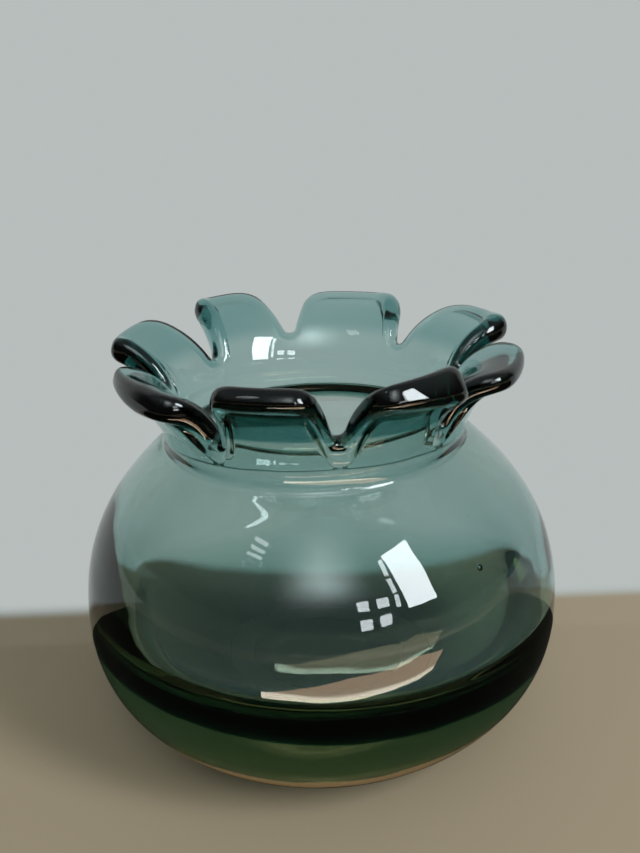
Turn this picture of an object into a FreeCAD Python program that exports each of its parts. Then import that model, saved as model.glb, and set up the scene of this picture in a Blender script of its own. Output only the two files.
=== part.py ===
import FreeCAD, Part
import math
import os

os.makedirs("parts", exist_ok=True)

# A mouth-blown rose bowl in millimetres. The origin is the centre of the flat that it rests on, +Z is up,
# and the viewer stands on the -Y side. Azimuths are in degrees, from the viewer's side towards +X.

# Outside of the bowl
bowl_radius = 65.0
girth_height = 41.5
foot_radius = 33.8
heel_angle = 27.0
shoulder_radius = 45.6
shoulder_height = 84.2
shoulder_angle = 43.9

# Neck above the shoulder, and the ring above it where the lip opens
neck_radius = 40.5
neck_rise = 6.1
neck_height = shoulder_height + neck_rise
neck_wall = 5.0
collar_rise = 11.5
collar_top_height = neck_height + collar_rise
collar_flare_angle = 28.0

# Glass around the bubble: the first gather lines it and the second cases it
lining_wall = 1.8
casing_wall = 3.8
shoulder_wall = 7.4
lining_floor = 6.0
casing_floor = 19.5
bubble_girth_rise = 3.0
bubble_girth_height = girth_height + bubble_girth_rise
bubble_offset = 2.2

# Petals of the lip
lip_radius = 56.0
lip_rise = 10.7
rim_thickness = 5.0
petal_corner_radius = 6.5
notch_gap = 2.4

# How far each curve of the outside pulls along its end directions, as shares of the height that it climbs
heel_pull_shares = (0.557, 0.477)
dome_pull_shares = (0.47, 0.35)
neck_pull_shares = (1.06, 0.44)
floor_pull_shares = (0.60, 0.55)
inner_dome_pull_shares = (0.63, 0.36)
inner_neck_pull_shares = (0.90, 0.44)

# The petals in turn from the viewer's side, and the azimuth of the notch before each one. The next petal's
# notch, or the first one a full turn on, ends the last.
petal_names = (
    "front_right", "right", "back_right", "back_centre",
    "back_left", "left_back", "left_front", "front_left",
)
notch_angles = (8.0, 48.0, 100.0, 142.0, 189.0, 226.0, 270.0, 325.0)

# For the same petals: reach as a share of lip_radius, rise above the collar as a share of lip_rise, width at
# the tip as a share of that at the root, and sway of the tip towards the next notch as a share of that width
reach_shares = (1.000, 0.975, 1.020, 0.985, 1.000, 0.965, 0.925, 0.965)
rise_shares = (1.38, 0.73, 0.80, 0.84, 0.97, 0.96, 0.73, 1.47)
tip_shares = (0.96, 0.92, 0.90, 0.94, 0.80, 0.86, 0.96, 0.86)
sway_shares = (0.0, 0.0, -0.12, -0.02, 0.07, 0.11, 0.0, 0.0)

# Places of a petal's sections, as shares of its straight part, of its corner and of half its thickness
blade_shares = (0.30, 0.65, 1.0)
corner_shares = (0.55,)
edge_shares = (1.0, 0.45, 0.08)
loft_degree = 3

UP = FreeCAD.Vector(0, 0, 1)


def vector(radius, height):
    return FreeCAD.Vector(radius, 0, height)


def curve_between(start, start_angle, start_pull, end, end_angle, end_pull):
    """A smooth edge in the XZ plane that leaves and arrives at the given angles above +X, in degrees."""
    leave = vector(math.cos(math.radians(start_angle)), math.sin(math.radians(start_angle)))
    arrive = vector(math.cos(math.radians(end_angle)), math.sin(math.radians(end_angle)))
    curve = Part.BezierCurve()
    curve.setPoles([start, start + leave * start_pull, end - arrive * end_pull, end])
    return curve.toShape()


def arc_between(start, middle, end):
    return Part.Arc(start, middle, end).toShape()


def revolved(edges):
    """A solid of revolution from edges that run from the axis at the bottom to the axis at the top."""
    first = edges[0].firstVertex().Point
    last = edges[-1].lastVertex().Point
    closed = edges + [Part.makeLine(last, first)]
    return Part.Face(Part.Wire(closed)).revolve(FreeCAD.Vector(), UP, 360)


def flare_radius():
    """Radius of the arc that the middle of the collar's wall follows as it opens."""
    return (collar_top_height - neck_height) / math.sin(math.radians(collar_flare_angle))


def flare_edge(side):
    """The collar's opening arc, on its outside for side +1 and its inside for side -1."""
    centre = vector(neck_radius - neck_wall / 2 + flare_radius(), neck_height)
    radius = flare_radius() - side * neck_wall / 2
    top = math.asin((collar_top_height - neck_height) / radius)
    start = centre - vector(radius, 0)
    middle = centre + vector(-radius * math.cos(top / 2), radius * math.sin(top / 2))
    end = centre + vector(-radius * math.cos(top), radius * math.sin(top))
    return arc_between(start, middle, end)


def outside_edges():
    foot = vector(foot_radius, 0)
    girth = vector(bowl_radius, girth_height)
    shoulder = vector(shoulder_radius, shoulder_height)
    neck = vector(neck_radius, neck_height)
    dome_rise = shoulder_height - girth_height
    neck_rise = neck_height - shoulder_height
    lean = 180 - shoulder_angle
    heel = curve_between(foot, heel_angle, heel_pull_shares[0] * girth_height,
                         girth, 90, heel_pull_shares[1] * girth_height)
    dome = curve_between(girth, 90, dome_pull_shares[0] * dome_rise,
                         shoulder, lean, dome_pull_shares[1] * dome_rise)
    throat = curve_between(shoulder, lean, neck_pull_shares[0] * neck_rise,
                           neck, 90, neck_pull_shares[1] * neck_rise)
    flare = flare_edge(1)
    flat = Part.makeLine(FreeCAD.Vector(), foot)
    lid = Part.makeLine(flare.lastVertex().Point, vector(0, collar_top_height))
    return [flat, heel, dome, throat, flare, lid]


def bubble_edges(side_wall, floor_wall):
    """The bubble up to the shoulder, grown by a wall at its side and another under its floor."""
    floor = vector(0, casing_floor + lining_floor - floor_wall)
    girth = vector(bowl_radius - casing_wall - lining_wall + side_wall, bubble_girth_height)
    shoulder = vector(shoulder_radius - shoulder_wall + side_wall, shoulder_height)
    low_rise = girth.z - floor.z
    dome_rise = shoulder.z - girth.z
    bottom = curve_between(floor, 0, floor_pull_shares[0] * girth.x,
                           girth, 90, floor_pull_shares[1] * low_rise)
    dome = curve_between(girth, 90, inner_dome_pull_shares[0] * dome_rise,
                         shoulder, 180 - shoulder_angle, inner_dome_pull_shares[1] * dome_rise)
    lid = Part.makeLine(shoulder, vector(0, shoulder_height))
    return [bottom, dome, lid]


def bubble(side_wall, floor_wall):
    """The bubble, leaning a little towards +X below the shoulder, so one wall is thicker than the other."""
    lean = bubble_offset / (shoulder_height - bubble_girth_height)
    shear = FreeCAD.Matrix()
    shear.A13 = -lean
    shear.A14 = lean * shoulder_height
    return revolved(bubble_edges(side_wall, floor_wall)).transformGeometry(shear)


def below_shoulder():
    return Part.makeCylinder(2 * bowl_radius, shoulder_height)


def inner_gather():
    return bubble(lining_wall, lining_floor).cut(bubble(0, 0))


def outer_casing():
    body = revolved(outside_edges()).common(below_shoulder())
    return body.cut(bubble(lining_wall, lining_floor))


def neck_collar():
    """The ring from the shoulder to the roots of the petals, with the throat through it."""
    ring = revolved(outside_edges()).cut(below_shoulder())
    shoulder = vector(shoulder_radius - shoulder_wall, shoulder_height)
    neck = vector(neck_radius - neck_wall, neck_height)
    rise = neck_height - shoulder_height
    throat = curve_between(shoulder, 180 - shoulder_angle, inner_neck_pull_shares[0] * rise,
                           neck, 90, inner_neck_pull_shares[1] * rise)
    flare = flare_edge(-1)
    floor = Part.makeLine(vector(0, shoulder_height), shoulder)
    lid = Part.makeLine(flare.lastVertex().Point, vector(0, collar_top_height))
    return ring.cut(revolved([floor, throat, flare, lid]))


def collar_rim():
    """Inner and outer radius of the collar's top face, where the petals stand."""
    inner = flare_edge(-1).lastVertex().Point.x
    outer = flare_edge(1).lastVertex().Point.x
    return inner, outer


def section(centre, inward, bend_radius, half_width, thickness):
    """A bowed strip with round ends, in the plane of the petal's width (Y) and the inward direction."""
    across = FreeCAD.Vector(0, 1, 0)
    hub = centre + inward * bend_radius
    turn = (half_width - thickness / 2) / bend_radius

    def place(angle, radius):
        return hub + across * (radius * math.sin(angle)) - inward * (radius * math.cos(angle))

    def end_cap(sign):
        along = across * (sign * math.cos(turn)) + inward * math.sin(turn)
        return place(sign * turn, bend_radius) + along * (thickness / 2)

    low = bend_radius + thickness / 2
    high = bend_radius - thickness / 2
    edges = [
        arc_between(place(-turn, low), place(0, low), place(turn, low)),
        arc_between(place(turn, low), end_cap(1), place(turn, high)),
        arc_between(place(turn, high), place(0, high), place(-turn, high)),
        arc_between(place(-turn, high), end_cap(-1), place(-turn, low)),
    ]
    return Part.Wire(edges)


def petal_path(reach, rise):
    """The length of a petal's middle, with a function that gives the point and the lean at a distance."""
    inner, outer = collar_rim()
    root = vector((inner + outer) / 2, collar_top_height)
    tip = vector(reach, collar_top_height + rise)
    chord = tip - root
    lean = math.radians(collar_flare_angle)
    turn = 2 * (math.atan2(chord.x, chord.z) - lean)
    radius = chord.Length / (2 * math.sin(turn / 2))
    hub = root + vector(radius * math.cos(lean), -radius * math.sin(lean))

    def at(distance):
        angle = lean + distance / radius
        return hub + vector(-radius * math.cos(angle), radius * math.sin(angle)), angle

    return at, radius * turn


def petal_outline(width, tip_share, share, to_tip):
    """Half-width and thickness of a petal at a distance from its tip, with round corners and a round edge."""
    half = width / 2 * (1 + (tip_share - 1) * share)
    in_corner = max(petal_corner_radius - to_tip, 0)
    half -= petal_corner_radius - math.sqrt(petal_corner_radius ** 2 - in_corner ** 2)
    in_edge = max(rim_thickness / 2 - to_tip, 0)
    thickness = 2 * math.sqrt((rim_thickness / 2) ** 2 - in_edge ** 2)
    return half, thickness


def petal(notch_before, notch_after, reach_share, rise_share, tip_share, sway_share):
    inner, outer = collar_rim()
    root_radius = (inner + outer) / 2
    width = root_radius * math.radians(notch_after - notch_before) - notch_gap
    at, length = petal_path(reach_share * lip_radius, rise_share * lip_rise)
    straight = length - petal_corner_radius
    stations = [length - share * straight for share in blade_shares]
    stations += [share * petal_corner_radius for share in corner_shares]
    stations += [share * rim_thickness / 2 for share in edge_shares]
    root = vector(root_radius, collar_top_height)
    wires = [section(root, vector(-1, 0), root_radius, width / 2, outer - inner)]
    for to_tip in stations:
        centre, lean = at(length - to_tip)
        tilt = lean * min((length - to_tip) / straight, 1)
        share = 1 - to_tip / length
        half, thickness = petal_outline(width, tip_share, share, to_tip)
        centre.y = sway_share * width * share
        inward = vector(-math.cos(tilt), math.sin(tilt))
        bend_radius = centre.x / max(math.cos(tilt), rim_thickness / lip_radius)
        wires.append(section(centre, inward, bend_radius, half, thickness / math.cos(lean - tilt)))
    shape = Part.makeLoft(wires, True, False, False, loft_degree)
    shape.rotate(FreeCAD.Vector(), UP, (notch_before + notch_after) / 2 - 90)
    return shape


def export(name, shape):
    solids = [solid for solid in shape.Solids]
    assert len(solids) == 1, f"{name} is {len(solids)} solids"
    assert shape.isValid(), f"{name} is not valid"
    solids[0].exportStep(f"parts/{name}.step")
    print(f"{name}: {solids[0].Volume / 1000:.1f} cm3")


def main():
    export("inner_gather", inner_gather())
    export("outer_casing", outer_casing())
    export("neck_collar", neck_collar())
    notches_after = notch_angles[1:] + (notch_angles[0] + 360,)
    shares = zip(reach_shares, rise_shares, tip_shares, sway_shares)
    for name, before, after, values in zip(petal_names, notch_angles, notches_after, shares):
        export(f"petal_{name}", petal(before, after, *values))


main()
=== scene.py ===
import math

import bmesh
import bpy
import numpy as np
from mathutils import Matrix, Vector


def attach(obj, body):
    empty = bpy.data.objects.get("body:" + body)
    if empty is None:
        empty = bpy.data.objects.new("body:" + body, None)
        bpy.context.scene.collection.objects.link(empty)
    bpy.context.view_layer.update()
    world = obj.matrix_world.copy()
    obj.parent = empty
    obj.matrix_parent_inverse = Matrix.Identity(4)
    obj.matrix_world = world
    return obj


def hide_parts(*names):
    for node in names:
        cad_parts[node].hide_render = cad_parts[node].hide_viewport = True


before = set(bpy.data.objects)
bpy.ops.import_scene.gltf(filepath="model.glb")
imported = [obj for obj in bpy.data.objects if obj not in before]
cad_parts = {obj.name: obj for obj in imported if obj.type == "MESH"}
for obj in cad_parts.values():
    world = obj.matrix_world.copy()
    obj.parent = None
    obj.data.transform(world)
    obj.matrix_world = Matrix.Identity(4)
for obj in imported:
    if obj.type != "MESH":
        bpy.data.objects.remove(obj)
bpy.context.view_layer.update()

# A mouth-blown glass rose bowl with a lip of eight petals, in metres. The origin is the centre of the flat
# that it rests on, +Z is up, and the viewer stands on the -Y side. Azimuths run from the viewer's side
# towards +X, in degrees where they are given.
mm = 0.001

# Outside of the bowl
bowl_radius = 65.0 * mm
girth_height = 41.5 * mm
foot_radius = 33.8 * mm
foot_round = 1.6 * mm
ground_ring_radius = 24.0 * mm
heel_angle = 27.0
shoulder_radius = 45.6 * mm
shoulder_height = 84.2 * mm
shoulder_angle = 43.9

# Neck and the ring above it where the lip opens
neck_radius = 40.5 * mm
neck_height = 90.3 * mm
neck_wall = 5.0 * mm
collar_top_height = 101.8 * mm
collar_flare_angle = 28.0

# Glass around the bubble: the first gather lines it and the second cases it
lining_wall = 1.8 * mm
casing_wall = 3.8 * mm
shoulder_wall = 7.4 * mm
lining_floor = 6.0 * mm
casing_floor = 19.5 * mm
bubble_girth_height = 44.5 * mm
bubble_offset = 2.2 * mm

# Petals of the lip, with the bow in the middle of each tip and the bead of the rim
lip_radius = 56.0 * mm
lip_rise = 10.7 * mm
notch_gap = 2.6 * mm
tip_bow = 0.7 * mm
tip_bow_power = 4
tip_bow_angle = 30.0
bead_reach = 2.4 * mm

# Thickness of the fire-polished rim at azimuths round the lip
rim_angles = (0, 8, 15, 28, 41, 48, 56, 75, 93, 100, 107, 116, 134, 142, 149, 158, 180, 189, 197, 214, 221,
              226, 236, 260, 265, 270, 277, 288, 304, 318, 325, 335, 356)
rim_thicknesses = tuple(size * mm for size in (
    5.4, 4.8, 5.4, 7.6, 9.8, 5.4, 5.4, 4.6, 5.2, 5.4, 8.0, 5.2, 3.9, 4.8, 7.4, 3.9, 3.9, 5.0, 4.8, 4.9, 8.4,
    5.6, 5.2, 5.8, 7.4, 5.4, 5.0, 5.4, 7.6, 6.6, 5.0, 5.6, 5.6))

# Thickness of the collar at its top, at azimuths round the lip
collar_angles = (0, 30, 60, 100, 180, 250, 300, 330)
collar_thicknesses = tuple(size * mm for size in (8.8, 8.8, 7.6, 5.8, 4.8, 5.8, 8.2, 8.8))

# The first gather in the lip: how far it stays under the outer and the inner skin, its wall in the neck and
# the collar, and how far up the petals it has grown to the whole of their thickness
gather_outer_cut = 0.9 * mm
gather_inner_cut = 0.1 * mm
gather_neck_wall = 2.3 * mm
gather_growth = 6.0 * mm

# How far each curve of the outside and the bubble pulls along its end directions, as shares of the height it
# climbs, and along the bubble's floor as a share of the bubble's radius
heel_pull_shares = (0.557, 0.477)
dome_pull_shares = (0.47, 0.35)
neck_pull_shares = (1.06, 0.44)
floor_pull_shares = (0.60, 0.55)
inner_dome_pull_shares = (0.63, 0.36)
inner_neck_pull_shares = (0.90, 0.44)

# For each petal in turn from the viewer's side: azimuth of the notch before it and how far the bottom of that
# notch lies above the collar's top, then the reach as a share of lip_radius, the rise above the collar as a
# share of lip_rise, and the tip's width and its sway to the next notch as shares of the width at the root
notch_angles = (8.0, 48.0, 100.0, 142.0, 189.0, 226.0, 270.0, 325.0)
notch_rises = tuple(rise * mm for rise in (0.2, -2.6, 0.2, 0.2, 2.2, -1.2, 0.2, -1.4))
reach_shares = (1.000, 0.975, 1.020, 0.985, 1.000, 0.965, 0.925, 0.965)
rise_shares = (1.38, 0.73, 0.80, 0.84, 0.97, 0.96, 0.73, 1.47)
tip_shares = (0.96, 0.92, 0.90, 0.94, 0.80, 0.86, 0.96, 0.86)
sway_shares = (0.0, 0.0, -0.12, -0.02, 0.07, 0.11, 0.0, 0.0)
notch_blend_angle = 4.0

# For the same petals: thickness just below the rim, how square the rim's section is, where 2 is round, and
# the rounding of the tip's two corners
blade_thicknesses = tuple(size * mm for size in (4.4, 4.6, 3.1, 3.4, 4.7, 5.4, 5.2, 4.0))
edge_squareness = (3.4, 2.4, 2.2, 2.2, 2.3, 2.6, 3.0, 2.6)
corner_pulls = tuple((first * mm, second * mm) for first, second in (
    (6.5, 6.5), (8.0, 8.0), (7.0, 6.5), (10.0, 6.5), (6.5, 5.0), (6.0, 4.0), (5.0, 6.5), (6.0, 5.5)))

# Seed bubbles in the wall: azimuth, depth under the skin, height, radius and how much taller than wide
seeds = (
    (42.5, 1.6 * mm, 67.4 * mm, 0.80 * mm, 1.1),
    (64.7, 1.4 * mm, 78.6 * mm, 0.25 * mm, 1.0),
    (47.1, 1.4 * mm, 77.6 * mm, 0.22 * mm, 1.0),
)

# Fineness of the meshes
column_count = 520
corner_points = 24
flat_rows = 5
heel_rows = 20
dome_rows = 26
throat_rows = 8
lip_rows = 26
rim_rows = 13
floor_rows = 26
seed_fineness = 3

full_turn = 2 * math.pi


# Camera at the photograph's place

photo_height = 853
focal_pixels = 1282
camera_place = (1.3 * mm, -322.0 * mm, 214.1 * mm)
camera_pitch = math.radians(21.11)
camera_roll = math.radians(-2.18)
film_width = 36.0
nearest_seen = 10 * mm


def add_camera():
    data = bpy.data.cameras.new("camera")
    data.sensor_width = film_width
    data.lens = focal_pixels * film_width / photo_height
    data.clip_start = nearest_seen
    camera = bpy.data.objects.new("camera", data)
    back = Vector((0, -math.cos(camera_pitch), math.sin(camera_pitch)))
    plain_right = Vector((1, 0, 0))
    plain_up = back.cross(plain_right)
    right = math.cos(camera_roll) * plain_right + math.sin(camera_roll) * plain_up
    up = math.cos(camera_roll) * plain_up - math.sin(camera_roll) * plain_right
    axes = Matrix((right, up, back)).transposed()
    camera.matrix_world = Matrix.Translation(camera_place) @ axes.to_4x4()
    bpy.context.scene.collection.objects.link(camera)
    bpy.context.scene.camera = camera


# Profiles of the blown body, as radius and height

def point(radius, height):
    return np.array([radius, height])


def direction(angle):
    return np.array([math.cos(math.radians(angle)), math.sin(math.radians(angle))])


def curve_between(start, start_angle, start_pull, end, end_angle, end_pull, count):
    """Points after the start of a smooth curve that leaves and arrives at the given angles above +X."""
    leave = start + direction(start_angle) * start_pull
    arrive = end - direction(end_angle) * end_pull
    t = np.linspace(0, 1, count + 1)[1:, None]
    s = 1 - t
    return s ** 3 * start + 3 * s ** 2 * t * leave + 3 * s * t ** 2 * arrive + t ** 3 * end


def outside_profile():
    """From the first ring of the ground flat up to the neck."""
    foot = point(foot_radius, 0)
    girth = point(bowl_radius, girth_height)
    shoulder = point(shoulder_radius, shoulder_height)
    neck = point(neck_radius, neck_height)
    lean = 180 - shoulder_angle
    dome_rise = shoulder_height - girth_height
    neck_rise = neck_height - shoulder_height
    flat_end = foot - point(foot_round, 0)
    heel_start = foot + direction(heel_angle) * foot_round
    rounding = curve_between(flat_end, 0, foot_round / 2, heel_start, heel_angle, foot_round / 2, flat_rows)
    ring = point(ground_ring_radius, 0)
    flat = ring + np.outer(np.linspace(0, 1, flat_rows + 1), flat_end - ring)
    heel = curve_between(foot, heel_angle, heel_pull_shares[0] * girth_height,
                         girth, 90, heel_pull_shares[1] * girth_height, heel_rows)
    # The heel starts clear of the foot's rounding
    heel = heel[np.linalg.norm(heel - foot, axis=1) > 2 * foot_round]
    dome = curve_between(girth, 90, dome_pull_shares[0] * dome_rise,
                         shoulder, lean, dome_pull_shares[1] * dome_rise, dome_rows)
    throat = curve_between(shoulder, lean, neck_pull_shares[0] * neck_rise,
                           neck, 90, neck_pull_shares[1] * neck_rise, throat_rows)
    return np.vstack([flat, rounding, heel, dome, throat])


def bubble_profile(side_wall, floor_wall, neck_growth):
    """From the first ring round the bubble's floor to the neck, grown at the side, the floor and the neck."""
    floor = point(0, casing_floor + lining_floor - floor_wall)
    girth = point(bowl_radius - casing_wall - lining_wall + side_wall, bubble_girth_height)
    shoulder = point(shoulder_radius - shoulder_wall + side_wall, shoulder_height)
    neck = point(neck_radius - neck_wall + neck_growth, neck_height)
    low_rise = girth[1] - floor[1]
    dome_rise = shoulder[1] - girth[1]
    neck_rise = neck_height - shoulder_height
    lean = 180 - shoulder_angle
    bottom = curve_between(floor, 0, floor_pull_shares[0] * girth[0],
                           girth, 90, floor_pull_shares[1] * low_rise, floor_rows)
    dome = curve_between(girth, 90, inner_dome_pull_shares[0] * dome_rise,
                         shoulder, lean, inner_dome_pull_shares[1] * dome_rise, dome_rows)
    throat = curve_between(shoulder, lean, inner_neck_pull_shares[0] * neck_rise,
                           neck, 90, inner_neck_pull_shares[1] * neck_rise, throat_rows)
    return np.vstack([bottom, dome, throat])


def rings(profile, azimuths):
    """One ring of points for each point of a profile, with columns at the given azimuths."""
    radii = profile[:, :1]
    heights = np.repeat(profile[:, 1:], len(azimuths), axis=1)
    return np.stack([radii * np.sin(azimuths), -radii * np.cos(azimuths), heights], axis=2)


def leaned(points):
    """The bubble leans a little towards +X below the shoulder, so one wall is thicker than the other."""
    lean = bubble_offset / (shoulder_height - bubble_girth_height)
    points[..., 0] += lean * np.maximum(shoulder_height - points[..., 2], 0)
    return points


# The lip, as a sheet that is measured by azimuth and by distance along its slope from the collar's top

flare = math.radians(collar_flare_angle)
flare_radius = (collar_top_height - neck_height) / math.sin(flare)
neck_path = -flare_radius * flare
neck_middle = neck_radius - neck_wall / 2
collar_middle = neck_middle + flare_radius * (1 - math.cos(flare))
notch_azimuths = np.radians(notch_angles)


def smooth(x):
    x = np.clip(x, 0, 1)
    return x * x * (3 - 2 * x)


def by_petal(values, azimuth):
    """A value of the petals at each azimuth, with a quick smooth change at the notches."""
    values = np.asarray(values)
    off = (azimuth[..., None] - notch_azimuths + math.pi) % full_turn - math.pi
    nearest = np.abs(off).argmin(axis=-1)
    away = np.take_along_axis(off, nearest[..., None], axis=-1)[..., 0]
    share = smooth(0.5 + away / (2 * math.radians(notch_blend_angle)))
    return values[nearest - 1] * (1 - share) + values[nearest] * share


def bend(azimuth):
    """Radius of the arc that the petal follows at an azimuth, and its length."""
    reach = by_petal(reach_shares, azimuth) * lip_radius - collar_middle
    rise = by_petal(rise_shares, azimuth) * lip_rise
    turn = 2 * (np.arctan2(reach, rise) - flare)
    radius = np.hypot(reach, rise) / (2 * np.sin(turn / 2))
    return radius, radius * turn


def sheet(azimuth, path):
    """Radius, height and lean from upright of the middle of the sheet."""
    petal_radius, _ = bend(azimuth)
    collar_lean = flare + path / flare_radius
    petal_lean = flare + path / petal_radius
    above = path > 0
    lean = np.where(above, petal_lean, collar_lean)
    radius = np.where(above, collar_middle + petal_radius * (math.cos(flare) - np.cos(lean)),
                      neck_middle + flare_radius * (1 - np.cos(lean)))
    height = np.where(above, collar_top_height + petal_radius * (np.sin(lean) - math.sin(flare)),
                      neck_height + flare_radius * np.sin(lean))
    return radius, height, lean


def sheet_frame(azimuth, path):
    """Points of the sheet with their outward normal, their direction along the slope and the one round it."""
    radius, height, lean = sheet(azimuth, path)
    sine, cosine = np.sin(azimuth), np.cos(azimuth)
    flat = np.zeros_like(azimuth)
    place = np.stack([radius * sine, -radius * cosine, height], axis=-1)
    normal = np.stack([sine * np.cos(lean), -cosine * np.cos(lean), -np.sin(lean)], axis=-1)
    upward = np.stack([sine * np.sin(lean), -cosine * np.sin(lean), np.cos(lean)], axis=-1)
    around = np.stack([cosine, sine, flat], axis=-1)
    return place, normal, upward, around


def round_the_lip(azimuth, angles, values):
    """A value at each azimuth, between values that are given at angles round the lip."""
    return np.interp(azimuth, np.radians(angles), values, period=full_turn)


def edge_corners():
    """The lip's outline before rounding, as azimuth, path and the pull of each corner's rounding."""
    corners = []
    count = len(notch_angles)
    for petal in range(count):
        before = notch_azimuths[petal]
        after = notch_azimuths[(petal + 1) % count] + (full_turn if petal == count - 1 else 0)
        middle = (before + after) / 2
        width = collar_middle * (after - before) - notch_gap
        length = bend(np.array([middle]))[1][0]
        tip_radius = reach_shares[petal] * lip_radius
        tip_half = tip_shares[petal] * width / 2
        sway = sway_shares[petal] * width
        gap = notch_gap / 2 / collar_middle
        low_before = notch_rises[petal]
        low_after = notch_rises[(petal + 1) % count]
        corners.append((before + gap, low_before, notch_gap / 2))
        corners.append((middle + (sway - tip_half) / tip_radius, length, corner_pulls[petal][0]))
        corners.append((middle + (sway + tip_half) / tip_radius, length, corner_pulls[petal][1]))
        corners.append((after - gap, low_after, notch_gap / 2))
    return np.array(corners)


def rounded_edge(corners, samples):
    """A dense line round the lip as azimuth and path, each corner rounded by its pull, at most halfway."""
    turn = np.array([full_turn, 0])
    line = []
    count = len(corners)
    for index in range(count):
        here = corners[index, :2]
        before = corners[index - 1, :2] - (turn if index == 0 else 0)
        after = corners[(index + 1) % count, :2] + (turn if index == count - 1 else 0)
        pull = corners[index, 2]
        ends = []
        for other in (before, after):
            span = other - here
            radius = (sheet(here[:1], here[1:])[0] + sheet(other[:1], other[1:])[0])[0] / 2
            distance = math.hypot(span[0] * radius, span[1])
            ends.append(here + span * min(pull / distance, 0.5))
        t = np.linspace(0, 1, samples)[:, None]
        line.append((1 - t) ** 2 * ends[0] + 2 * t * (1 - t) * here + t ** 2 * ends[1])
    return np.vstack(line)


def lip_edge():
    """Azimuth and path of the lip's edge at columns spread evenly along it, and their roots' azimuths."""
    corners = edge_corners()
    line = rounded_edge(corners, corner_points)
    closing = line[:1] + np.array([full_turn, 0])
    line = np.vstack([line, closing])
    place = sheet_frame(line[:, 0], line[:, 1])[0]
    steps = np.linalg.norm(np.diff(place, axis=0), axis=1)
    run = np.concatenate([[0], np.cumsum(steps)])
    even = np.arange(column_count) / column_count * run[-1]
    azimuth = np.interp(even, run, line[:, 0])
    path = np.interp(even, run, line[:, 1])
    low_columns = np.interp(notch_azimuths, azimuth, np.arange(column_count))
    marks = np.concatenate([low_columns - column_count, low_columns, low_columns + column_count])
    turns = np.concatenate([notch_azimuths - full_turn, notch_azimuths, notch_azimuths + full_turn])
    roots = np.interp(np.arange(column_count), marks, turns)
    length = bend(azimuth)[1]
    middles = (notch_azimuths + np.append(notch_azimuths[1:], notch_azimuths[0] + full_turn)) / 2
    away = np.abs((azimuth[:, None] - middles + math.pi) % full_turn - math.pi).min(axis=1)
    bow = np.cos(np.clip(away / math.radians(tip_bow_angle), 0, 1) * math.pi / 2)
    path = path + tip_bow * smooth(path / length) ** tip_bow_power * bow
    return azimuth, path, roots


def cyclic_slope(values, wrap=0):
    """Change of a value per column round the lip, where it grows by wrap in a full turn."""
    ahead = np.roll(values, -1)
    behind = np.roll(values, 1)
    ahead[-1] += wrap
    behind[0] -= wrap
    return (ahead - behind) / 2


class Lip:
    """The lip from the neck over the rim and back: its own skin, and the first gather a little under it."""

    def __init__(self):
        self.azimuth, self.path, self.roots = lip_edge()
        radius = sheet(self.azimuth, self.path)[0]
        along = cyclic_slope(self.azimuth, full_turn) * radius
        climb = cyclic_slope(self.path)
        size = np.hypot(along, climb)
        self.inward = np.stack([climb / size, -along / size], axis=1)
        self.rim = round_the_lip(self.azimuth, rim_angles, rim_thicknesses)
        self.collar = round_the_lip(self.azimuth, collar_angles, collar_thicknesses)
        self.blade = by_petal(blade_thicknesses, self.azimuth)
        self.rim_azimuth = self.azimuth + self.inward[:, 0] * self.rim / 2 / radius
        self.rim_path = self.path + self.inward[:, 1] * self.rim / 2

    def thickness(self, path):
        """The collar swells from the neck, and the petals thin out above it up to the bead of their rim."""
        swell = neck_wall + (self.collar - neck_wall) * smooth(1 - path / neck_path)
        length = bend(self.azimuth)[1]
        climb = np.clip(path / length, 0, 1)
        taper = self.collar + (self.blade - self.collar) * climb ** 2 * (2 - climb)
        blade = np.where(path < 0, swell, taper)
        bead = np.exp(-((self.rim_path - path) / bead_reach) ** 2)
        return blade + (self.rim - blade) * bead

    def skin(self, side, cut, low_wall=None):
        """Rows of one side above the neck, +1 for outside and -1 for inside, cut back from the lip's skin.

        Where a low wall is given, a wall of that thickness is left below the collar's top.
        """
        rows = []
        for share in np.linspace(0, 1, lip_rows + 1)[1:]:
            azimuth = self.roots + (self.rim_azimuth - self.roots) * share
            path = neck_path + (self.rim_path - neck_path) * share
            place, normal, _, _ = sheet_frame(azimuth, path)
            thickness = self.thickness(path)[:, None]
            low_cut = cut if low_wall is None else thickness - low_wall
            above = smooth(path / gather_growth)[:, None]
            rows.append(place + normal * side * (thickness / 2 - low_cut - (cut - low_cut) * above))
        return np.array(rows)

    def edge(self, outer_cut, inner_cut):
        """Rows over the rounded rim."""
        place, normal, upward, around = sheet_frame(self.rim_azimuth, self.rim_path)
        outward = -(around * self.inward[:, :1] + upward * self.inward[:, 1:])
        half = (self.rim[:, None] - outer_cut - inner_cut) / 2
        centre = place + normal * (inner_cut - outer_cut) / 2
        power = 2 / by_petal(edge_squareness, self.rim_azimuth)[:, None]
        rows = []
        for angle in np.linspace(0, math.pi, rim_rows + 2)[1:-1]:
            up = math.copysign(1, math.cos(angle)) * abs(math.cos(angle)) ** power
            out = math.sin(angle) ** power
            rows.append(centre + half * (up * normal + out * outward))
        return np.array(rows)

    def whole(self):
        """The lip's own skin."""
        outside = self.skin(1, 0)
        inside = self.skin(-1, 0)[::-1]
        return np.concatenate([outside, self.edge(0, 0), inside])

    def gather(self):
        """The skin of the first gather, thin in the neck and the collar and thick in the petals."""
        outside = self.skin(1, gather_outer_cut, gather_neck_wall + gather_inner_cut)
        inside = self.skin(-1, gather_inner_cut)[::-1]
        return np.concatenate([outside, self.edge(gather_outer_cut, gather_inner_cut), inside])


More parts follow.
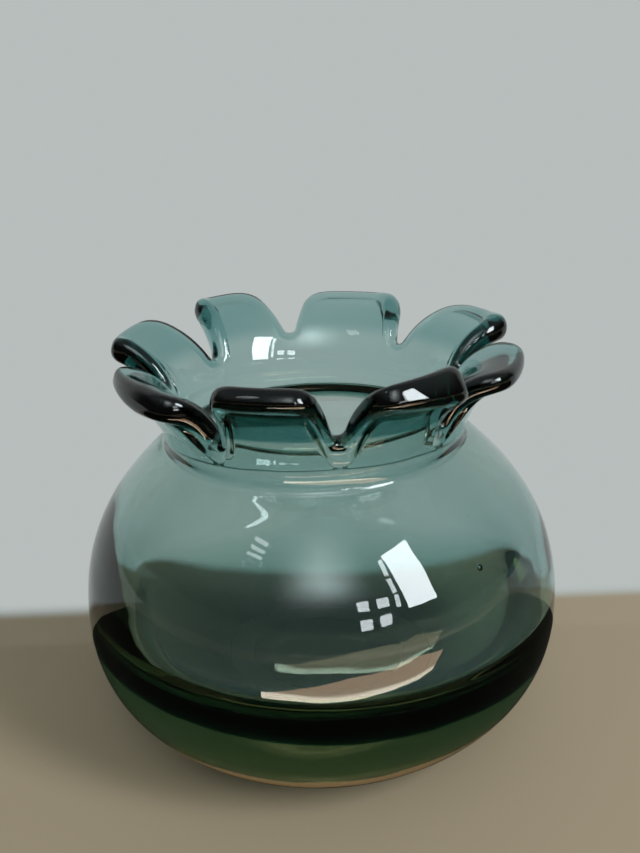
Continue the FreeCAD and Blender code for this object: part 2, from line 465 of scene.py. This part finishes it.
def closed_mesh(name, rows, first_pole, last_pole):
    """A closed skin from rings of points, with a fan of faces at each end."""
    ring_count, columns = rows.shape[:2]
    points = np.concatenate([rows.reshape(-1, 3), [first_pole, last_pole]])
    index = np.arange(ring_count * columns).reshape(ring_count, columns)
    ahead = np.roll(index, -1, axis=1)
    quads = np.stack([index[:-1], ahead[:-1], ahead[1:], index[1:]], axis=-1).reshape(-1, 4)
    first, last = len(points) - 2, len(points) - 1
    faces = quads.tolist()
    faces += [(first, b, a) for a, b in zip(index[0].tolist(), ahead[0].tolist())]
    faces += [(last, a, b) for a, b in zip(index[-1].tolist(), ahead[-1].tolist())]
    mesh = bpy.data.meshes.new(name)
    mesh.from_pydata(points.tolist(), [], faces)
    mesh.shade_smooth()
    piece = bpy.data.objects.new(name, mesh)
    bpy.context.scene.collection.objects.link(piece)
    return piece


def add_vase_glass(lip):
    """The whole blown body in one skin: bowl, neck, lip with its petals, and the bubble inside."""
    outside = rings(outside_profile(), lip.roots)
    inside = leaned(rings(bubble_profile(0, 0, 0), lip.roots))[::-1]
    rows = np.concatenate([outside, lip.whole(), inside[1:]])
    floor = leaned(np.array([0, 0, casing_floor + lining_floor]))
    piece = closed_mesh("vase_glass", rows, (0, 0, 0), floor)
    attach(piece, "root")
    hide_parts("outer_casing", "neck_collar", *(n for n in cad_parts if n.startswith("petal_")))
    return piece


def radius_at(height):
    """Outside radius of the bowl at a height."""
    profile = outside_profile()
    return float(np.interp(height, profile[:, 1], profile[:, 0]))


def add_seeds(piece):
    """Small bubbles caught in the wall, as closed skins that face inwards."""
    shape = bmesh.new()
    shape.from_mesh(piece.data)
    for azimuth, depth, height, radius, stretch in seeds:
        turn = math.radians(azimuth)
        reach = radius_at(height) - depth
        middle = Matrix.Translation((reach * math.sin(turn), -reach * math.cos(turn), height))
        size = Matrix.Diagonal((radius, radius, radius * stretch, 1))
        made = bmesh.ops.create_icosphere(shape, subdivisions=seed_fineness, radius=1, matrix=middle @ size)
        faces = {face for vertex in made["verts"] for face in vertex.link_faces}
        bmesh.ops.reverse_faces(shape, faces=list(faces))
        for face in faces:
            face.smooth = True
    shape.to_mesh(piece.data)
    shape.free()


def add_inner_gather(lip):
    """The darker first gather: it lines the bubble and makes up most of the lip."""
    grown = bubble_profile(lining_wall, lining_floor, gather_neck_wall + gather_inner_cut)
    near = bubble_profile(gather_inner_cut, gather_inner_cut, gather_inner_cut)
    outside = leaned(rings(grown, lip.roots))
    inside = leaned(rings(near, lip.roots))[::-1]
    rows = np.concatenate([outside, lip.gather(), inside[1:]])
    low = leaned(np.array([0, 0, casing_floor]))
    high = leaned(np.array([0, 0, casing_floor + lining_floor - gather_inner_cut]))
    piece = closed_mesh("inner_gather_glass", rows, low, high)
    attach(piece, "root")
    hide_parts("inner_gather")
    return piece


# Glass

glass_index = 1.51
ground_depth = 0.05 * mm
ground_roughness = 0.8
scratch_size = 1.2 * mm
scratch_share = 0.2
wave_size = 22 * mm
wave_stretch = (1, 1, 1.8)
wave_detail = 1
wave_height = 0.22 * mm

# Colour of each glass: 1 less what a millimetre of it absorbs
casing_colour = (0.9950, 0.9904, 0.9834, 1)
gather_colour = (0.752, 0.877, 0.883, 1)
glass_density = 1 / mm


def new_material(name):
    material = bpy.data.materials.new(name)
    material.use_nodes = True
    tree = material.node_tree
    tree.nodes.clear()
    return material, tree


def new_group(name, result):
    """A group of shader nodes with a position in and one value out."""
    group = bpy.data.node_groups.new(name, "ShaderNodeTree")
    group.interface.new_socket("Position", in_out="INPUT", socket_type="NodeSocketVector")
    group.interface.new_socket(result, in_out="OUTPUT", socket_type="NodeSocketFloat")
    return group, group.nodes.new("NodeGroupInput"), group.nodes.new("NodeGroupOutput")


def add_ramp(tree, value, low, high):
    """A smooth step from 0 at low to 1 at high."""
    ramp = tree.nodes.new("ShaderNodeMapRange")
    ramp.interpolation_type = "SMOOTHSTEP"
    ramp.inputs["From Min"].default_value = low
    ramp.inputs["From Max"].default_value = high
    tree.links.new(value, ramp.inputs["Value"])
    return ramp.outputs["Result"]


def add_mix(tree, share, first, second):
    """A colour between two, each a colour or an output."""
    mix = tree.nodes.new("ShaderNodeMix")
    mix.data_type = "RGBA"
    tree.links.new(share, mix.inputs["Factor"])
    for name, colour in (("A", first), ("B", second)):
        if isinstance(colour, tuple):
            mix.inputs[name].default_value = colour
        else:
            tree.links.new(colour, mix.inputs[name])
    return mix.outputs["Result"]


def add_math(tree, operation, first, second=0):
    """A number worked out from two, each a number or an output."""
    node = tree.nodes.new("ShaderNodeMath")
    node.operation = operation
    for socket, value in zip(node.inputs, (first, second)):
        if isinstance(value, (int, float)):
            socket.default_value = value
        else:
            tree.links.new(value, socket)
    return node.outputs["Value"]


def add_blend(tree, share, first, second):
    """One of two shaders, or some of each."""
    mix = tree.nodes.new("ShaderNodeMixShader")
    tree.links.new(share, mix.inputs["Fac"])
    tree.links.new(first, mix.inputs[1])
    tree.links.new(second, mix.inputs[2])
    return mix.outputs["Shader"]


def ground_mask():
    """Roughness of the skin: the ring that the vase rests on is ground, with fine scratches in it."""
    group, given, result = new_group("ground_ring", "Roughness")
    split = group.nodes.new("ShaderNodeSeparateXYZ")
    group.links.new(given.outputs["Position"], split.inputs["Vector"])
    flat = group.nodes.new("ShaderNodeCombineXYZ")
    group.links.new(split.outputs["X"], flat.inputs["X"])
    group.links.new(split.outputs["Y"], flat.inputs["Y"])
    radius = group.nodes.new("ShaderNodeVectorMath")
    radius.operation = "LENGTH"
    group.links.new(flat.outputs["Vector"], radius.inputs[0])
    outside = add_math(group, "GREATER_THAN", radius.outputs["Value"], ground_ring_radius)
    low = add_math(group, "LESS_THAN", split.outputs["Z"], ground_depth)
    scratches = group.nodes.new("ShaderNodeTexNoise")
    scratches.inputs["Scale"].default_value = 1 / scratch_size
    group.links.new(given.outputs["Position"], scratches.inputs["Vector"])
    depth = add_math(group, "MULTIPLY", scratches.outputs["Fac"], scratch_share)
    worn = add_math(group, "ADD", depth, ground_roughness)
    ring = add_math(group, "MULTIPLY", outside, low)
    group.links.new(add_math(group, "MULTIPLY", ring, worn), result.inputs["Roughness"])
    return group


def blown_waves():
    """Height of the faint waves that blowing leaves in the skin, longer round the axis than up it."""
    group, given, result = new_group("blown_waves", "Height")
    stretch = group.nodes.new("ShaderNodeVectorMath")
    stretch.operation = "MULTIPLY"
    stretch.inputs[1].default_value = wave_stretch
    group.links.new(given.outputs["Position"], stretch.inputs[0])
    waves = group.nodes.new("ShaderNodeTexNoise")
    waves.inputs["Scale"].default_value = 1 / wave_size
    waves.inputs["Detail"].default_value = wave_detail
    group.links.new(stretch.outputs["Vector"], waves.inputs["Vector"])
    group.links.new(waves.outputs["Fac"], result.inputs["Height"])
    return group


def casing_material():
    """The clear skin of the whole vase, with the pale glass under it."""
    material, tree = new_material("casing_glass")
    output = tree.nodes.new("ShaderNodeOutputMaterial")
    shader = tree.nodes.new("ShaderNodeBsdfPrincipled")
    shader.inputs["Base Color"].default_value = (1, 1, 1, 1)
    shader.inputs["IOR"].default_value = glass_index
    geometry = tree.nodes.new("ShaderNodeNewGeometry")
    ground = tree.nodes.new("ShaderNodeGroup")
    ground.node_tree = ground_mask()
    tree.links.new(geometry.outputs["Position"], ground.inputs["Position"])
    tree.links.new(ground.outputs["Roughness"], shader.inputs["Roughness"])
    skin = tree.nodes.new("ShaderNodeGroup")
    skin.node_tree = blown_waves()
    tree.links.new(geometry.outputs["Position"], skin.inputs["Position"])
    bump = tree.nodes.new("ShaderNodeBump")
    bump.inputs["Distance"].default_value = wave_height
    tree.links.new(skin.outputs["Height"], bump.inputs["Height"])
    tree.links.new(bump.outputs["Normal"], shader.inputs["Normal"])
    shader.inputs["Transmission Weight"].default_value = 1
    body = tree.nodes.new("ShaderNodeVolumeAbsorption")
    body.inputs["Color"].default_value = casing_colour
    body.inputs["Density"].default_value = glass_density
    tree.links.new(shader.outputs["BSDF"], output.inputs["Surface"])
    tree.links.new(body.outputs["Volume"], output.inputs["Volume"])
    return material


def gather_material():
    """The darker glass, which has no skin of its own where one gather has melted into the other."""
    material, tree = new_material("gather_glass")
    output = tree.nodes.new("ShaderNodeOutputMaterial")
    body = tree.nodes.new("ShaderNodeVolumeAbsorption")
    body.inputs["Color"].default_value = gather_colour
    body.inputs["Density"].default_value = glass_density
    tree.links.new(body.outputs["Volume"], output.inputs["Volume"])
    return material


# Floor and room. Past a line behind the vase, the floor takes the look of the pale wall

floor_half = 8.0
floor_drop = 0.2 * mm
floor_roughness = 0.7
floor_colour = (0.36, 0.272, 0.178, 1)
wall_line = 67 * mm
wall_blend = 6 * mm
wall_colour = (0.50, 0.54, 0.53, 1)
background_strength = 0.95

# The room by direction: its colours, and where each fades in, as two values of a unit direction's X, Y or Z
room_colour = (0.05, 0.055, 0.05, 1)
ceiling_colour = (0.28, 0.33, 0.33, 1)
ceiling_rise = (0.25, 0.75)
wall_side = (0.28, 0.58)
patch_colour = (4.9, 5.5, 5.6, 1)
patch_sides = (0.56, 0.10)
patch_narrowing = 0.25
patch_bottom = (0.36, 0.72)
patch_top = (0.95, 0.70)
patch_near = (0.0, -0.1)


def add_floor():
    """The table, which turns into the pale wall behind the vase."""
    mesh = bpy.data.meshes.new("floor")
    corners = [(floor_half * x, floor_half * y, -floor_drop) for x, y in ((-1, -1), (1, -1), (1, 1), (-1, 1))]
    mesh.from_pydata(corners, [], [(0, 1, 2, 3)])
    floor = bpy.data.objects.new("floor", mesh)
    bpy.context.scene.collection.objects.link(floor)
    material, tree = new_material("floor")
    output = tree.nodes.new("ShaderNodeOutputMaterial")
    shader = tree.nodes.new("ShaderNodeBsdfPrincipled")
    shader.inputs["Roughness"].default_value = floor_roughness
    geometry = tree.nodes.new("ShaderNodeNewGeometry")
    split = tree.nodes.new("ShaderNodeSeparateXYZ")
    tree.links.new(geometry.outputs["Position"], split.inputs["Vector"])
    far = add_ramp(tree, split.outputs["Y"], wall_line - wall_blend, wall_line + wall_blend)
    tree.links.new(add_mix(tree, far, floor_colour, wall_colour), shader.inputs["Base Color"])
    glow = tree.nodes.new("ShaderNodeEmission")
    glow.inputs["Color"].default_value = wall_colour
    glow.inputs["Strength"].default_value = background_strength
    ray = tree.nodes.new("ShaderNodeLightPath")
    seen = ray.outputs["Is Camera Ray"]
    for kind in ("Is Glossy Ray", "Is Transmission Ray"):
        seen = add_math(tree, "MAXIMUM", seen, ray.outputs[kind])
    shown = add_math(tree, "MULTIPLY", seen, far)
    surface = add_blend(tree, shown, shader.outputs["BSDF"], glow.outputs["Emission"])
    tree.links.new(surface, output.inputs["Surface"])
    mesh.materials.append(material)


def ceiling_patch(tree, split):
    """The part of the ceiling above the viewer that daylight falls on, narrower towards its top."""
    side = add_math(tree, "ABSOLUTE", split.outputs["X"])
    slope = add_math(tree, "MULTIPLY", split.outputs["Z"], patch_narrowing)
    inside = add_ramp(tree, add_math(tree, "ADD", side, slope), *patch_sides)
    above = add_ramp(tree, split.outputs["Z"], *patch_bottom)
    below = add_ramp(tree, split.outputs["Z"], *patch_top)
    near = add_ramp(tree, split.outputs["Y"], *patch_near)
    tall = add_math(tree, "MULTIPLY", above, below)
    return add_math(tree, "MULTIPLY", add_math(tree, "MULTIPLY", inside, tall), near)


def add_world():
    """The wall's colour on the far side, and a dim room under a partly lit ceiling on the viewer's side."""
    world = bpy.data.worlds.new("room")
    bpy.context.scene.world = world
    world.use_nodes = True
    tree = world.node_tree
    background = tree.nodes["Background"]
    place = tree.nodes.new("ShaderNodeTexCoord")
    split = tree.nodes.new("ShaderNodeSeparateXYZ")
    tree.links.new(place.outputs["Generated"], split.inputs["Vector"])
    high = add_ramp(tree, split.outputs["Z"], *ceiling_rise)
    far = add_ramp(tree, split.outputs["Y"], *wall_side)
    near = add_mix(tree, high, room_colour, ceiling_colour)
    colour = add_mix(tree, far, near, wall_colour)
    colour = add_mix(tree, ceiling_patch(tree, split), colour, patch_colour)
    tree.links.new(colour, background.inputs["Color"])
    background.inputs["Strength"].default_value = background_strength


# Windows round the room: name, azimuths and elevations in degrees as the bowl sees them, columns and rows of
# panes, radiance, and the share of each pane's width and height that its frame takes
windows = (
    ("window", (40, 57), (16, 46), 1, 1, 20, 0.0),
    ("casement", (35, 38), (18, 44), 1, 3, 13, 0.15),
    ("side_window", (15, 34), (10, 28), 2, 2, 13, 0.4),
    ("fanlight", (-54, -32), (45, 55), 1, 3, 6, 0.5),
)
lamp_distance = 1.3
lamp_aim = Vector((0, 0, 54 * mm))
lamp_colour = (0.88, 0.96, 1.0)

# A dark card round the foot, cut off straight at the wall, which paints shade of the table into the glass's
# mirror images, and the strip of daylight in front of the vase
card_radius = 34.5 * mm
card_reach = 700 * mm
card_back = 45 * mm
card_columns = 60
card_height = 0.5 * mm
painted_shade_colour = (0.03, 0.026, 0.02, 1)
daylight_outline = tuple((x * mm, y * mm) for x, y in (
    (-56, -136), (-22, -142), (22, -146), (65, -143), (131, -150), (250, -215), (240, -320), (125, -262),
    (38, -240), (-29, -190), (-64, -152)))
daylight_height = 5.0 * mm
daylight_fade = (-166 * mm, -153 * mm)
edge_light = (13.0, 11.4, 9.0, 1)
wood_light = (4.6, 3.0, 1.9, 1)


def add_pane(name, azimuth, elevation, width, height, radiance):
    """A soft rectangular lamp, placed and sized by angles as the bowl sees it."""
    side = Vector((math.sin(azimuth), -math.cos(azimuth), 0)) * math.cos(elevation)
    place = lamp_aim + lamp_distance * (side + Vector((0, 0, math.sin(elevation))))
    data = bpy.data.lights.new(name, "AREA")
    data.shape = "RECTANGLE"
    data.size = width * lamp_distance
    data.size_y = height * lamp_distance
    data.energy = radiance * math.pi * data.size * data.size_y
    data.color = lamp_colour
    lamp = bpy.data.objects.new(name, data)
    lamp.visible_transmission = False
    aim = (lamp_aim - place).to_track_quat("-Z", "Y").to_matrix().to_4x4()
    lamp.matrix_world = Matrix.Translation(place) @ aim
    bpy.context.scene.collection.objects.link(lamp)


def add_window(name, azimuths, elevations, columns, rows, radiance, frame_share):
    """A window between two azimuths and two elevations, with its panes in columns and rows."""
    left, right = (math.radians(angle) for angle in azimuths)
    low, high = (math.radians(angle) for angle in elevations)
    wide = (right - left) / columns
    tall = (high - low) / rows
    open_share = 1 - frame_share
    for column in range(columns):
        for row in range(rows):
            azimuth = left + (column + 0.5) * wide
            elevation = low + (row + 0.5) * tall
            width = wide * math.cos(elevation) * open_share
            add_pane(f"{name}_{column}_{row}", azimuth, elevation, width, tall * open_share, radiance)


def add_mirrored_sheet(name, corners, faces, height, material, within):
    """A flat sheet just above the table for mirror images alone, in the skin or within the glass too."""
    mesh = bpy.data.meshes.new(name)
    mesh.from_pydata([(x, y, height) for x, y in corners], [], faces)
    mesh.materials.append(material)
    piece = bpy.data.objects.new(name, mesh)
    bpy.context.scene.collection.objects.link(piece)
    piece.visible_camera = False
    piece.visible_diffuse = False
    piece.visible_transmission = within
    piece.visible_shadow = False


def add_painted_table_shade():
    """The dark card, which keeps the table's glare off the glass: painted shade of the table round the foot.
    """
    material, tree = new_material("painted_table_shade")
    output = tree.nodes.new("ShaderNodeOutputMaterial")
    shader = tree.nodes.new("ShaderNodeBsdfDiffuse")
    # Painted shade: this dark colour shows only where the glass mirrors the table
    shader.inputs["Color"].default_value = painted_shade_colour
    tree.links.new(shader.outputs["BSDF"], output.inputs["Surface"])
    hole = []
    rim = []
    for column in range(card_columns):
        turn = full_turn * column / card_columns
        side, back = math.sin(turn), -math.cos(turn)
        reach = card_back / max(back, card_back / card_reach)
        hole.append((card_radius * side, card_radius * back))
        rim.append((reach * side, reach * back))
    faces = []
    for column in range(card_columns):
        ahead = (column + 1) % card_columns
        faces.append((column, ahead, card_columns + ahead, card_columns + column))
    add_mirrored_sheet("painted_table_shade", hole + rim, faces, card_height, material, False)


def add_table_daylight():
    """The daylight on the table in front of the vase: a pale edge with a strip of browner wood beyond it."""
    material, tree = new_material("table_daylight")
    output = tree.nodes.new("ShaderNodeOutputMaterial")
    geometry = tree.nodes.new("ShaderNodeNewGeometry")
    split = tree.nodes.new("ShaderNodeSeparateXYZ")
    tree.links.new(geometry.outputs["Position"], split.inputs["Vector"])
    near = add_ramp(tree, split.outputs["Y"], *daylight_fade)
    glow = tree.nodes.new("ShaderNodeEmission")
    tree.links.new(add_mix(tree, near, wood_light, edge_light), glow.inputs["Color"])
    clear = tree.nodes.new("ShaderNodeBsdfTransparent")
    ray = tree.nodes.new("ShaderNodeLightPath")
    mirrored = add_math(tree, "GREATER_THAN", ray.outputs["Glossy Depth"], 0)
    surface = add_blend(tree, mirrored, clear.outputs["BSDF"], glow.outputs["Emission"])
    tree.links.new(surface, output.inputs["Surface"])
    whole = tuple(range(len(daylight_outline)))
    add_mirrored_sheet("table_daylight", daylight_outline, [whole], daylight_height, material, True)


# How often a ray may turn through glass or in all, off mirrors, and through clear sheets
glass_bounces = 24
mirror_bounces = 12
clear_bounces = 48


def set_look():
    scene = bpy.context.scene
    scene.view_settings.view_transform = "Standard"
    scene.cycles.max_bounces = glass_bounces
    scene.cycles.transmission_bounces = glass_bounces
    scene.cycles.glossy_bounces = mirror_bounces
    scene.cycles.transparent_max_bounces = clear_bounces


add_camera()
lip_shape = Lip()
vase_glass = add_vase_glass(lip_shape)
add_seeds(vase_glass)
vase_glass.data.materials.append(casing_material())
inner_gather_glass = add_inner_gather(lip_shape)
inner_gather_glass.data.materials.append(gather_material())
add_floor()
add_world()
for window in windows:
    add_window(*window)
# Painted shade of the table round the foot, seen only in the glass's mirror images
add_painted_table_shade()
add_table_daylight()
set_look()
